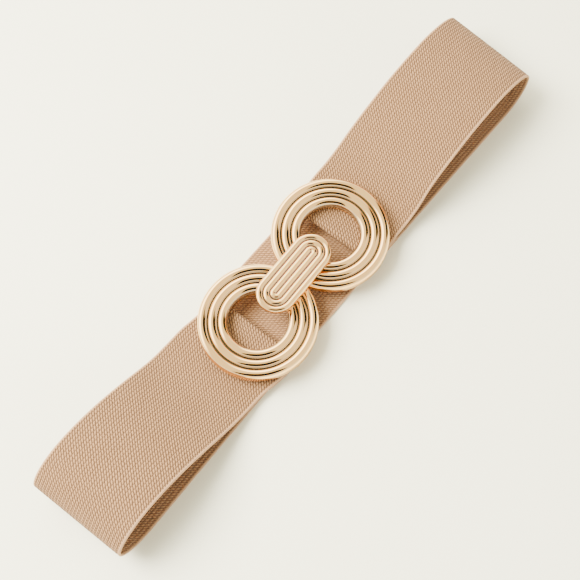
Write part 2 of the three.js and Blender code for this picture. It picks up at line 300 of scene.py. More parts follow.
@dataclass(frozen=True)
class Nodes:
    """Short way to add and join shader nodes in the tree of a material, a world or a group."""

    tree: bpy.types.NodeTree

    def add(self, kind: str, **settings: object) -> bpy.types.Node:
        """Add a node.

        Args:
            kind: Blender's name of the node type.
            **settings: Node properties to set.

        Returns:
            The new node.
        """
        node = self.tree.nodes.new(kind)
        for name, value in settings.items():
            setattr(node, name, value)
        return node

    def put(self, target: Socket, value: object) -> None:
        """Join a socket to another, or set its value.

        Args:
            target: Input socket.
            value: Output socket to join, or a plain value.
        """
        if isinstance(value, Socket):
            self.tree.links.new(value, target)
        else:
            target.default_value = value

    def math(self, operation: str, *values: object) -> Socket:
        """Add a Math node.

        Args:
            operation: Name of the operation.
            *values: Its inputs, as sockets or numbers.

        Returns:
            The result.
        """
        node = self.add("ShaderNodeMath", operation=operation)
        for socket, value in zip(node.inputs, values):
            self.put(socket, value)
        return node.outputs[0]

    def mix(self, factor: object, first: object, second: object) -> Socket:
        """Mix two colours.

        Args:
            factor: Share of the second colour.
            first: First colour.
            second: Second colour.

        Returns:
            The mixed colour.
        """
        node = self.add("ShaderNodeMix", data_type="RGBA")
        self.put(node.inputs["Factor"], factor)
        self.put(node.inputs[6], first)
        self.put(node.inputs[7], second)
        return node.outputs[2]

    def parts(self, vector: Socket) -> tuple[Socket, ...]:
        """Split a vector.

        Args:
            vector: The vector.

        Returns:
            Its X, Y and Z parts.
        """
        node = self.add("ShaderNodeSeparateXYZ")
        self.put(node.inputs[0], vector)
        return tuple(node.outputs)

    def dot(self, vector: Socket, way: Vector) -> Socket:
        """Part of a vector along a fixed direction.

        Args:
            vector: The vector.
            way: The direction, of length 1.

        Returns:
            The part.
        """
        node = self.add("ShaderNodeVectorMath", operation="DOT_PRODUCT")
        self.put(node.inputs[0], vector)
        self.put(node.inputs[1], way)
        return node.outputs["Value"]

    def spread(
        self, value: object, low: float, high: float, start: float = 0.0, end: float = 1.0
    ) -> Socket:
        """Spread a value smoothly from one range to another.

        Args:
            value: Value to spread.
            low: Value that gives the start.
            high: Value that gives the end.
            start: Result at the low value and below.
            end: Result at the high value and above.

        Returns:
            The result.
        """
        node = self.add("ShaderNodeMapRange", interpolation_type="SMOOTHSTEP")
        names = ("Value", "From Min", "From Max", "To Min", "To Max")
        for name, given in zip(names, (value, low, high, start, end)):
            self.put(node.inputs[name], given)
        return node.outputs[0]

    def noise(self, vector: object, scale: object, detail: float, roughness: float = 0.5) -> Socket:
        """Add a noise texture.

        Args:
            vector: Place to read the noise at.
            scale: Its scale.
            detail: Number of finer layers.
            roughness: Strength of the finer layers.

        Returns:
            The noise value.
        """
        node = self.add("ShaderNodeTexNoise")
        self.put(node.inputs["Vector"], vector)
        self.put(node.inputs["Scale"], scale)
        node.inputs["Detail"].default_value = detail
        node.inputs["Roughness"].default_value = roughness
        return node.outputs[0]

    def bump(self, shader: bpy.types.Node, height: Socket, strength: float, distance: float) -> None:
        """Give a shader a bumpy surface.

        Args:
            shader: The shader's node.
            height: Height of the bumps.
            strength: Strength of the bumps.
            distance: Depth of the bumps, in millimetres.
        """
        node = self.add("ShaderNodeBump")
        node.inputs["Strength"].default_value = strength
        node.inputs["Distance"].default_value = distance * MM
        self.put(node.inputs["Height"], height)
        self.put(shader.inputs["Normal"], node.outputs[0])


class Kind(Enum):
    """Socket types of a node group."""

    VALUE = "NodeSocketFloat"
    COLOR = "NodeSocketColor"
    VECTOR = "NodeSocketVector"


def place_effect(
    nodes: Nodes,
    name: str,
    given: dict[str, tuple[Kind, object]],
    outputs: dict[str, Kind],
    fill: Callable[[Nodes, dict[str, Socket]], dict[str, Socket]],
) -> bpy.types.Node:
    """Place an effect's node group in a material, and make the group the first time.

    Args:
        nodes: Nodes of the material.
        name: Name of the group.
        given: Kind and value of each input.
        outputs: Kind of each output.
        fill: Function that adds the group's nodes and gives the value of each output.

    Returns:
        The group's node.
    """
    tree = bpy.data.node_groups.get(name)
    if not tree:
        tree = bpy.data.node_groups.new(name, "ShaderNodeTree")
        for label, (kind, _) in given.items():
            tree.interface.new_socket(label, in_out="INPUT", socket_type=kind.value)
        for label, kind in outputs.items():
            tree.interface.new_socket(label, in_out="OUTPUT", socket_type=kind.value)
        inner = Nodes(tree)
        entry, leave = inner.add("NodeGroupInput"), inner.add("NodeGroupOutput")
        results = fill(inner, {label: entry.outputs[label] for label in given})
        for label, value in results.items():
            inner.put(leave.inputs[label], value)
    node = nodes.add("ShaderNodeGroup", node_tree=tree)
    for label, (_, value) in given.items():
        nodes.put(node.inputs[label], value)
    return node


@dataclass(frozen=True)
class Weave:
    """Woven elastic: rows along the band with slanted stitches, and smooth ridged selvages.

    Pitches and the selvage are in millimetres, and wander and jitter in rows and stitches.
    """

    row_pitch: float = 2.05
    stitch_pitch: float = 1.7
    fuzz: float = 0.25
    wander_scale: float = 0.11
    row_wander: float = 0.15
    slant_wander: float = 0.4
    jitter_scale: float = 0.9
    slant_jitter: float = 0.25
    stitch_power: float = 0.8
    row_power: float = 0.55
    row_strength: float = 0.6
    row_floor: float = 0.25
    cross_strength: float = 0.15
    selvage: Pair = (0.9, 1.3)
    ridge_pitch: float = 0.62
    ridge_strength: float = 0.3
    ridge_floor: float = 0.62
    fine_pitch: float = 0.55
    fine_strength: float = 0.08
    fibre_scale: float = 6.0
    fibre_roughness: float = 0.7

    def fill(self, nodes: Nodes, given: dict[str, Socket]) -> dict[str, Socket]:
        """Add the weave's nodes.

        Args:
            nodes: Nodes of the group.
            given: Inputs of the group.

        Returns:
            The outputs by name.
        """

        def wave(phase: object) -> Socket:
            """Rounded wave from 0 to 1 of a phase in turns."""
            swing = nodes.math("COSINE", nodes.math("MULTIPLY", phase, 2 * math.pi))
            return nodes.math("MULTIPLY_ADD", swing, 0.5, 0.5)

        def drift(scale: float, detail: float, roughness: float = 0.5) -> Socket:
            """Noise about zero at the place."""
            return nodes.math("SUBTRACT", nodes.noise(given["Place"], scale, detail, roughness), 0.5)

        along, across, _ = nodes.parts(given["Place"])
        wander = drift(self.wander_scale, detail=2.0)
        row = nodes.math("DIVIDE", across, given["Row Pitch"])
        row = nodes.math("MULTIPLY_ADD", wander, self.row_wander, row)
        stitch = nodes.math("DIVIDE", along, given["Stitch Pitch"])
        slanted = nodes.math("ADD", stitch, row)
        slanted = nodes.math("MULTIPLY_ADD", wander, self.slant_wander, slanted)
        jitter = drift(self.jitter_scale, detail=1.0)
        slanted = nodes.math("MULTIPLY_ADD", jitter, self.slant_jitter, slanted)
        stitch_wave = nodes.math("POWER", wave(slanted), self.stitch_power)
        row_wave = nodes.math("POWER", wave(row), self.row_power)
        strength = nodes.math("MULTIPLY_ADD", row_wave, self.row_strength, self.row_floor)
        stitches = nodes.math("MULTIPLY", stitch_wave, strength)
        stitches = nodes.math("MULTIPLY_ADD", wave(stitch), self.cross_strength, stitches)

        from_edge = nodes.math("SUBTRACT", given["Half Width"], nodes.math("ABSOLUTE", across))
        body = nodes.spread(from_edge, *self.selvage)
        ridge_wave = wave(nodes.math("DIVIDE", from_edge, self.ridge_pitch))
        fine = wave(nodes.math("DIVIDE", along, self.fine_pitch))
        ridges = nodes.math("MULTIPLY_ADD", ridge_wave, self.ridge_strength, self.ridge_floor)
        ridges = nodes.math("MULTIPLY_ADD", fine, self.fine_strength, ridges)
        blended = nodes.add("ShaderNodeMix", data_type="FLOAT")
        nodes.put(blended.inputs[0], body)
        nodes.put(blended.inputs[2], ridges)
        nodes.put(blended.inputs[3], stitches)
        fibre = drift(self.fibre_scale, detail=2.0, roughness=self.fibre_roughness)
        height = nodes.math("MULTIPLY_ADD", fibre, given["Fuzz"], blended.outputs[0])
        # Yarn also sets where the finish paints shade between the stitches, and Height sets the bumps.
        return {"Height": height, "Yarn": blended.outputs[0], "Body": body}

    def place(self, nodes: Nodes, place: Socket, half_width: float) -> bpy.types.Node:
        """Place the weave's group in a material.

        Args:
            nodes: Nodes of the material.
            place: Millimetres along and across the band.
            half_width: Half the width of the band, in millimetres.

        Returns:
            The group's node.
        """
        given = {
            "Place": (Kind.VECTOR, place),
            "Half Width": (Kind.VALUE, half_width),
            "Row Pitch": (Kind.VALUE, self.row_pitch),
            "Stitch Pitch": (Kind.VALUE, self.stitch_pitch),
            "Fuzz": (Kind.VALUE, self.fuzz),
        }
        outputs = {label: Kind.VALUE for label in ("Height", "Yarn", "Body")}
        return place_effect(nodes, "woven elastic", given, outputs, self.fill)


@dataclass(frozen=True)
class Mottle:
    """Slow colour change and fine grain that cloth, metal and floor share."""

    color: Color
    second: Color
    patch_scale: float
    grain_scale: float
    strength: float
    patch_range: Pair = (0.3, 0.7)
    grain_range: Pair = (0.25, 0.75)

    def fill(self, nodes: Nodes, given: dict[str, Socket]) -> dict[str, Socket]:
        """Add the mottle's nodes.

        Args:
            nodes: Nodes of the group.
            given: Inputs of the group.

        Returns:
            The outputs by name.
        """
        patch = nodes.noise(given["Place"], given["Patch Scale"], detail=4.0)
        grain = nodes.noise(given["Place"], given["Grain Scale"], detail=2.0)
        share = nodes.math("MULTIPLY", nodes.spread(patch, *self.patch_range), given["Strength"])
        color = nodes.mix(share, given["Color"], given["Second Color"])
        return {"Color": color, "Grain": nodes.spread(grain, *self.grain_range)}

    def place(self, nodes: Nodes, place: Socket) -> bpy.types.Node:
        """Place the mottle's group in a material.

        Args:
            nodes: Nodes of the material.
            place: Place to read the mottle at.

        Returns:
            The group's node.
        """
        given = {
            "Place": (Kind.VECTOR, place),
            "Color": (Kind.COLOR, self.color),
            "Second Color": (Kind.COLOR, self.second),
            "Patch Scale": (Kind.VALUE, self.patch_scale),
            "Grain Scale": (Kind.VALUE, self.grain_scale),
            "Strength": (Kind.VALUE, self.strength),
        }
        outputs = {"Color": Kind.COLOR, "Grain": Kind.VALUE}
        return place_effect(nodes, "mottle and grain", given, outputs, self.fill)


def start_material(name: str) -> tuple[bpy.types.Material, Nodes, bpy.types.Node]:
    """Make a material with one Principled shader.

    Args:
        name: Name of the material.

    Returns:
        The material, its nodes and the shader.
    """
    material = bpy.data.materials.new(name)
    material.use_nodes = True
    nodes = Nodes(material.node_tree)
    return material, nodes, material.node_tree.nodes["Principled BSDF"]


@dataclass(frozen=True)
class ElasticFinish:
    """Matte pale tan elastic with slanted stitches in rows, painted shade between the stitches and
    painted fill light on its inner side.

    The inner face, which looks into the shaded insides of the loops, is painted paler as fill light. The
    range of this painted fill light is the distance from the band's middle line, in millimetres, over
    which it sets in.
    """

    crown: Color = srgb(167, 127, 87)
    # Painted shade: colour of the weave's valleys, darker than the yarn, as shade between the stitches.
    valley_painted_shade: Color = srgb(72, 50, 32)
    selvage: Color = srgb(176, 138, 100)
    worn: Color = srgb(160, 120, 81)
    # Paler tone painted on the inner face as fill light for the shaded insides of the loops.
    inner: Color = srgb(160, 120, 84)
    painted_fill_share: float = 0.3
    painted_fill_range: Pair = (0.1, 0.5)
    yarn_range: Pair = (0.05, 0.72)
    roughness: Pair = (0.82, 0.95)
    weave: Weave = Weave()

    def material(self, half_width: float) -> bpy.types.Material:
        """Make the material.

        Args:
            half_width: Half the width of the band, in millimetres.

        Returns:
            The material.
        """
        material, nodes, shader = start_material("woven_elastic")
        place = nodes.add("ShaderNodeAttribute", attribute_name=PLACE).outputs["Vector"]
        weave = self.weave.place(nodes, place, half_width)
        mottle = Mottle(self.crown, self.worn, patch_scale=0.06, grain_scale=2.6, strength=0.45)
        mottled = mottle.place(nodes, place)
        light = nodes.mix(weave.outputs["Body"], self.selvage, mottled.outputs["Color"])
        shade = nodes.spread(weave.outputs["Yarn"], *self.yarn_range)
        # Painted shade: the gaps between the stitches are darkened towards the valley colour.
        color = nodes.mix(shade, self.valley_painted_shade, light)
        # Painted fill light: the inner face, which looks into the shaded loops, is mixed towards the
        # paler tone.
        inside = nodes.spread(nodes.parts(place)[2], *self.painted_fill_range, 0.0, self.painted_fill_share)
        nodes.put(shader.inputs["Base Color"], nodes.mix(inside, color, self.inner))
        rough = nodes.spread(mottled.outputs["Grain"], 0.0, 1.0, *self.roughness)
        nodes.put(shader.inputs["Roughness"], rough)
        shader.inputs["Sheen Weight"].default_value = 0.03
        shader.inputs["Sheen Roughness"].default_value = 0.5
        shader.inputs["Specular IOR Level"].default_value = 0.25
        nodes.bump(shader, weave.outputs["Height"], strength=0.75, distance=0.35)
        return material


@dataclass(frozen=True)
class GoldFinish:
    """Polished pale gold plating, duller in the grooves, where painted shade makes it darker and greyer.
    """

    polished: Color = srgb(255, 208, 139)
    # Painted shade colour of the grooves, greyer so that the metal's reflections of itself there read
    # less orange.
    groove: Color = srgb(180, 172, 156)
    second: Color = srgb(252, 200, 130)
    painted_groove_range: Pair = (0.15, 0.6)
    painted_groove_share: float = 0.92
    roughness: Pair = (0.045, 0.08)
    dull_range: Pair = (0.6, 0.95)
    dullness: float = 0.25
    polish_scale: float = 260.0

    def material(self) -> bpy.types.Material:
        """Make the material.

        Returns:
            The material.
        """
        material, nodes, shader = start_material("pale_gold_plating")
        place = nodes.add("ShaderNodeTexCoord").outputs["Object"]
        depth = nodes.add("ShaderNodeAttribute", attribute_name=DEPTH).outputs["Fac"]
        mottle = Mottle(self.polished, self.second, patch_scale=60.0, grain_scale=900.0, strength=0.5)
        mottled = mottle.place(nodes, place)
        # Painted shade: the grooves are darkened and greyed, which also tones down the metal's orange
        # reflections of itself.
        deep = nodes.spread(depth, *self.painted_groove_range, 0.0, self.painted_groove_share)
        nodes.put(shader.inputs["Base Color"], nodes.mix(deep, mottled.outputs["Color"], self.groove))
        polish = nodes.spread(mottled.outputs["Grain"], 0.0, 1.0, *self.roughness)
        rough = nodes.math("ADD", polish, nodes.spread(depth, *self.dull_range, 0.0, self.dullness))
        nodes.put(shader.inputs["Roughness"], rough)
        shader.inputs["Metallic"].default_value = 1.0
        scratches = nodes.noise(place, self.polish_scale, detail=3.0)
        nodes.bump(shader, scratches, strength=0.08, distance=0.05)
        return material


@dataclass(frozen=True)
class FloorFinish:
    """Plain warm white tabletop."""

    color: Color = srgb(243, 240, 212)
    second: Color = srgb(240, 236, 206)

    def material(self) -> bpy.types.Material:
        """Make the material.

        Returns:
            The material.
        """
        material, nodes, shader = start_material("plain_tabletop")
        place = nodes.add("ShaderNodeTexCoord").outputs["Object"]
        mottle = Mottle(self.color, self.second, patch_scale=6.0, grain_scale=220.0, strength=0.4)
        nodes.put(shader.inputs["Base Color"], mottle.place(nodes, place).outputs["Color"])
        shader.inputs["Roughness"].default_value = 0.85
        shader.inputs["Specular IOR Level"].default_value = 0.15
        return material


def skin_faces(rows: int, count: int, circuit: bool) -> list[tuple[int, ...]]:
    """Faces of a closed skin over rows of points, where each row is a closed outline.

    Args:
        rows: Number of rows.
        count: Number of points in each row.
        circuit: Whether the last row joins the first. Otherwise both end rows are capped.

    Returns:
        The numbers of each face's points.
    """
    faces = []
    for row in range(rows if circuit else rows - 1):
        here, after = row * count, (row + 1) % rows * count
        for j in range(count):
            k = (j + 1) % count
            faces.append((here + j, after + j, after + k, here + k))
    if not circuit:
        faces += [tuple(range(count)), tuple(reversed(range((rows - 1) * count, rows * count)))]
    return faces


def finished_object(
    name: str, mesh: bpy.types.Mesh, material: bpy.types.Material, crease: float
) -> bpy.types.Object:
    """Make a smooth-shaded object of a mesh.

    Args:
        name: Name of the piece.
        mesh: Its mesh.
        material: Its material.
        crease: Angle from which an edge stays sharp, in degrees.

    Returns:
        The object, linked to the scene.
    """
    mesh.name = name
    mesh.materials.append(material)
    mesh.shade_smooth()
    mesh.set_sharp_from_angle(angle=math.radians(crease))
    piece = bpy.data.objects.new(name, mesh)
    bpy.context.scene.collection.objects.link(piece)
    return piece


@dataclass
class ElasticBand:
    """Woven band: one strip folded round both bars and turned back in two end loops.

    Selvage dips hold the distance beyond the woven rows and the depth under the band's face. The places
    of the two faces are kept apart, so that their weave isn't the same.
    """

    sizes: BeltSizes
    finish: ElasticFinish = ElasticFinish()
    wrap_steps: int = 14
    course_steps: int = 62
    turn_steps: int = 16
    run_steps: int = 44
    row_steps: int = 5
    edge_steps: int = 6
    fold_shares: tuple[float, ...] = (1.0, 0.75, 0.5, 0.25, 0.1)
    row_relief: float = 0.11
    selvage: float = 2.3
    selvage_dips: tuple[Pair, ...] = ((0.65, 0.1), (1.3, 0.03))
    edge_bulge: float = 0.5
    edge_fullness: float = 0.92
    faces_apart: float = 400.0
    wave_height: float = 0.12
    wave_length: float = 13.0
    wave_lean: float = 1.9
    crease: float = 50.0

    def half_line(self, end: BeltEnd) -> np.ndarray:
        """Middle line of one half, from the folded-back end to where the loop meets the table.

        Args:
            end: End of the belt.

        Returns:
            Rows of distance from the joint, height, and 1 for the upper layer or 0 for the lower.
        """
        sizes = self.sizes
        bar_x, bar_level = sizes.bar_x(end), sizes.bar_level(end)
        low, high = bar_level - sizes.wrap_radius, bar_level + sizes.wrap_radius
        rows = [(bar_x + sizes.folded_back * share, low, 1) for share in self.fold_shares]
        for angle in arc(0.0, math.pi, self.wrap_steps):
            x = bar_x - sizes.wrap_radius * math.sin(angle)
            rows.append((x, bar_level - sizes.wrap_radius * math.cos(angle), 1))
        sink_depth = high - low - sizes.band_thickness - sizes.clearance
        guide = [(bar_x, high)]
        for way, sink, lift in end.under_ring:
            raised = lift * way * sizes.bar_to_edge * math.sin(end.tilt)
            guide.append((bar_x + way * sizes.bar_to_edge, high - sink * sink_depth + raised))
        edge = guide[-1]
        crest = (end.reach - end.turn_above, end.crest_height - sizes.half_thickness)
        for way, rise in end.rise:
            guide.append((edge[0] + way * (crest[0] - edge[0]), edge[1] + rise * (crest[1] - edge[1])))
        rows += [(x, z, 1) for x, z in smooth_line(np.array(guide), self.course_steps)[1:]]
        above = (0.0, end.turn_above, crest[1] - end.turn_height, 1)
        below = (math.pi / 2, end.turn_below, end.turn_height - sizes.half_thickness, 0)
        for start, deep, tall, layer in (above, below):
            for angle in arc(start, math.pi / 2, self.turn_steps)[1:]:
                x = end.reach - deep * (1 - math.sin(angle))
                rows.append((x, end.turn_height + tall * math.cos(angle), layer))
        return np.array(rows)

    def section(self) -> np.ndarray:
        """Outline of the band's cross-section, with shallow grooves between the woven rows.

        Returns:
            Rows of place across the band and distance from its middle line.
        """
        half, thick = self.sizes.half_width, self.sizes.half_thickness
        body = half - self.selvage
        pitch = self.finish.weave.row_pitch
        across = np.linspace(-body, body, round(2 * body / pitch) * self.row_steps + 1)
        groove = self.row_relief * (0.5 - 0.5 * np.cos(2 * np.pi * across / pitch)) ** 2
        side = [(body + out, thick - deep) for out, deep in self.selvage_dips]
        face = [(-y, level) for y, level in reversed(side)]
        face += [(y, thick - cut) for y, cut in zip(across, groove)]
        face += side
        for angle in arc(0.0, math.pi, self.edge_steps)[1:-1]:
            y = half - self.edge_bulge * (1 - math.sin(angle))
            face.append((y, self.edge_fullness * thick * math.cos(angle)))
        return np.array([*face, *[(-y, -out) for y, out in face]])

    def settle(self, x: float, upper: bool, end: BeltEnd, points: np.ndarray) -> np.ndarray:
        """Place one cross-section of the band as it lies.

        Args:
            x: Place of the cross-section along the belt.
            upper: Whether it belongs to the upper layer.
            end: Its end of the belt.
            points: Its points, changed in place.

        Returns:
            The points.
        """
        sizes = self.sizes
        bar_x, bar_level = sizes.bar_x(end), sizes.bar_level(end)
        held = bar_x + sizes.bar_to_edge
        width_share = points[:, 1] / sizes.half_width
        skew = end.side.value * end.skew * smoothstep(abs(x), held, end.reach)
        points[:, 0] += skew * width_share
        if upper:
            free = smoothstep(abs(x), held, held + sizes.settling_length)
            slide = 1 - smoothstep(abs(x), bar_x + sizes.lug_width, held)
            across, lift = turned(points[:, 1], points[:, 2] - bar_level, end.roll * (1 - free))
            points[:, 2] = bar_level + lift
            points[:, 0], across = turned(points[:, 0], across, sizes.buckle_turn * slide)
            points[:, 1] = across + sizes.buckle_shift * slide
            fade = free * (1 - smoothstep(abs(x), end.reach - end.turn_above, end.reach))
            wave = np.sin(x / self.wave_length + width_share * self.wave_lean)
            points[:, 2] += self.wave_height * fade * wave * width_share
        points[:, 1] -= sizes.sideways_bend * (x / end.reach) ** 2
        return points

    def build(self) -> bpy.types.Object:
        """Build and dress the band.

        Returns:
            The band.
        """
        near, far = self.half_line(NEAR), self.half_line(FAR)[::-1]
        near[:, 0] *= -1
        run = np.linspace(near[-1, 0], far[0, 0], self.run_steps + 1)[1:-1]
        middle = np.column_stack([run, np.full_like(run, self.sizes.half_thickness), np.zeros_like(run)])
        line = np.vstack([near, middle, far])
        steps = np.linalg.norm(np.diff(line[:, :2], axis=0), axis=1)
        along = np.concatenate([[0.0], np.cumsum(steps)])
        section = self.section()
        across, outward = section.T
        points, places = [], []
        for index, (x, z, upper) in enumerate(line):
            ahead = line[min(index + 1, len(line) - 1), :2] - line[max(index - 1, 0), :2]
            ahead /= np.linalg.norm(ahead)
            ring = np.column_stack([x - outward * ahead[1], across, z + outward * ahead[0]])
            points.append(self.settle(x, bool(upper), NEAR if x < 0 else FAR, ring))
            face = np.sign(outward) * self.faces_apart
            places.append(np.column_stack([along[index] + face, across, outward]))
        corners = np.vstack(points) + np.array([*self.sizes.origin, 0.0])
        faces = skin_faces(len(line), len(section), circuit=False)
        mesh = bpy.data.meshes.new("woven_band")
        mesh.from_pydata((corners * MM).tolist(), [], faces)
        attribute = mesh.attributes.new(PLACE, "FLOAT_VECTOR", "POINT")
        attribute.data.foreach_set("vector", np.vstack(places).astype(np.float32).ravel())
        material = self.finish.material(self.sizes.half_width)
        piece = finished_object("woven_band", mesh, material, self.crease)
        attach(piece, "root")
        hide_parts("elastic_band")
        return piece


@dataclass
class BuckleHalf:
    """Cast ring with its bar and lugs, in the frame of its bar with the joint at high X.

    The work mesh holds the half while it is built, in millimetres. The crease is in degrees.
    """

    sizes: BeltSizes
    end: BeltEnd
    name: str
    node: str
    finish: GoldFinish = GoldFinish()
    ring_steps: int = 240
    rib_steps: int = 12
    bar_steps: int = 28
    lug_steps: int = 12
    rounding: float = 0.35
    merge_distance: float = 1e-4
    crease: float = 38.0
    work: bmesh.types.BMesh = field(default_factory=bmesh.new)

    def rib_profile(self, inner: float, ribs: int, rib_radius: float, base: float) -> Profile:
        """Profile of half-round ribs side by side, standing on a base.

        Args:
            inner: Distance at which the first rib starts.
            ribs: Number of ribs.
            rib_radius: Radius of each rib.
            base: Height of the grooves.

        Returns:
            Distance, height and groove depth of each point, from inner to outer.
        """
        profile = [(inner, base, 1.0)]
        for rib in range(ribs):
            middle = inner + rib_radius * (2 * rib + 1)
            for angle in arc(math.pi, -math.pi, self.rib_steps)[1:]:
                height = math.sin(angle)
                outside = rib == ribs - 1 and angle < math.pi / 2
                depth = 0.0 if outside else 1 - height
                profile.append((middle + rib_radius * math.cos(angle), base + rib_radius * height, depth))
        return profile

    def add_skin(self, rows: list[list[tuple[Vector, float]]], circuit: bool) -> None:
        """Add a closed skin over rows of points.

        Args:
            rows: Rows of points with their groove depth, each row a closed outline.
            circuit: Whether the last row joins the first. Otherwise both end rows are capped.
        """
        layer = self.work.verts.layers.float[DEPTH]
        verts = []
        for point, depth in [spot for row in rows for spot in row]:
            verts.append(self.work.verts.new(point))
            verts[-1][layer] = depth
        for face in skin_faces(len(rows), len(rows[0]), circuit):
            self.work.faces.new([verts[number] for number in face])

    def add_turned(self, profile: Profile, spots: list[Pair], level: float) -> None:
        """Add a profile carried round in a circuit.

        Args:
            profile: Distance, height and groove depth of each point.
            spots: Centre along X and direction of the profile at each step.
            level: Height of the profile's zero.
        """
        rows = []
        for centre, angle in spots:
            row = []
            for reach, height, depth in profile:
                row.append((Vector((*around(reach, angle, centre), level + height)), depth))
            rows.append(row)
        self.add_skin(rows, circuit=True)

    def add_ring(self) -> None:
        """Add the ribbed ring, cut flat at the joint."""
        sizes = self.sizes
        hole, outer, soft = sizes.ring_hole_radius, sizes.ring_outer_radius, self.rounding
        profile = self.rib_profile(hole, sizes.ring_ribs, sizes.ring_rib_width / 2, sizes.ring_base)
        profile += [(outer, soft, 0.0), (outer - soft, 0.0, 0.0)]
        profile += [(hole + soft, 0.0, 0.0), (hole, soft, 0.0)]
        spots = [(sizes.bar_offset, angle) for angle in arc(0.0, 2 * math.pi, self.ring_steps)[:-1]]
        self.add_turned(profile, spots, sizes.ring_rise)
        work = self.work
        parts = [*work.verts, *work.edges, *work.faces]
        flat = {"plane_co": (sizes.bar_to_flat, 0, 0), "plane_no": (1, 0, 0)}
        cut = bmesh.ops.bisect_plane(work, geom=parts, clear_outer=True, **flat)
        edges = [part for part in cut["geom_cut"] if isinstance(part, bmesh.types.BMEdge)]
        bmesh.ops.edgenet_fill(work, edges=edges)

    def add_prism(self, outline: list[Pair], low: float, high: float, upright: bool = True) -> None:
        """Add a prism over an outline.

        Args:
            outline: Points of the outline.
            low: First level.
            high: Second level.
            upright: Whether the outline stands across the belt. Otherwise it lies flat.
        """
        rows = []
        for level in (low, high):
            points = [(a, level, b) if upright else (a, b, level) for a, b in outline]
            rows.append([(Vector(point), 0.0) for point in points])
        self.add_skin(rows, circuit=False)

    def add_bar(self) -> None:
        """Add the bar and the two lugs that carry it."""
        sizes = self.sizes
        inner = sizes.half_width + sizes.side_play
        angles = arc(0.0, 2 * math.pi, self.bar_steps)[:-1]
        circle = [around(sizes.bar_diameter / 2, angle) for angle in angles]
        end = inner + sizes.lug_thickness / 2
        self.add_prism(circle, -end, end)
        half = sizes.lug_width / 2
        top = sizes.ring_rise + sizes.ring_base / 2
        outline = [(half, top), (-half, top)]
        outline += [around(half, angle) for angle in arc(math.pi, math.pi, self.lug_steps)]
        for start in (inner, -inner - sizes.lug_thickness):
            self.add_prism(outline, start, start + sizes.lug_thickness)

    def add_parts(self) -> None:
        """Add every part of this half."""
        self.add_ring()
        self.add_bar()

    def build(self) -> bpy.types.Object:
        """Build, place and dress the half.

        Returns:
            The buckle half.
        """
        work = self.work
        work.verts.layers.float.new(DEPTH)
        self.add_parts()
        bmesh.ops.remove_doubles(work, verts=work.verts, dist=self.merge_distance)
        bmesh.ops.recalc_face_normals(work, faces=work.faces)
        work.transform(self.sizes.buckle_frame(self.end))
        mesh = bpy.data.meshes.new(self.name)
        work.to_mesh(mesh)
        work.free()
        piece = finished_object(self.name, mesh, self.finish.material(), self.crease)
        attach(piece, "root")
        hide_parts(self.node)
        log.info("%s: %d faces", self.name, len(mesh.polygons))
        return piece


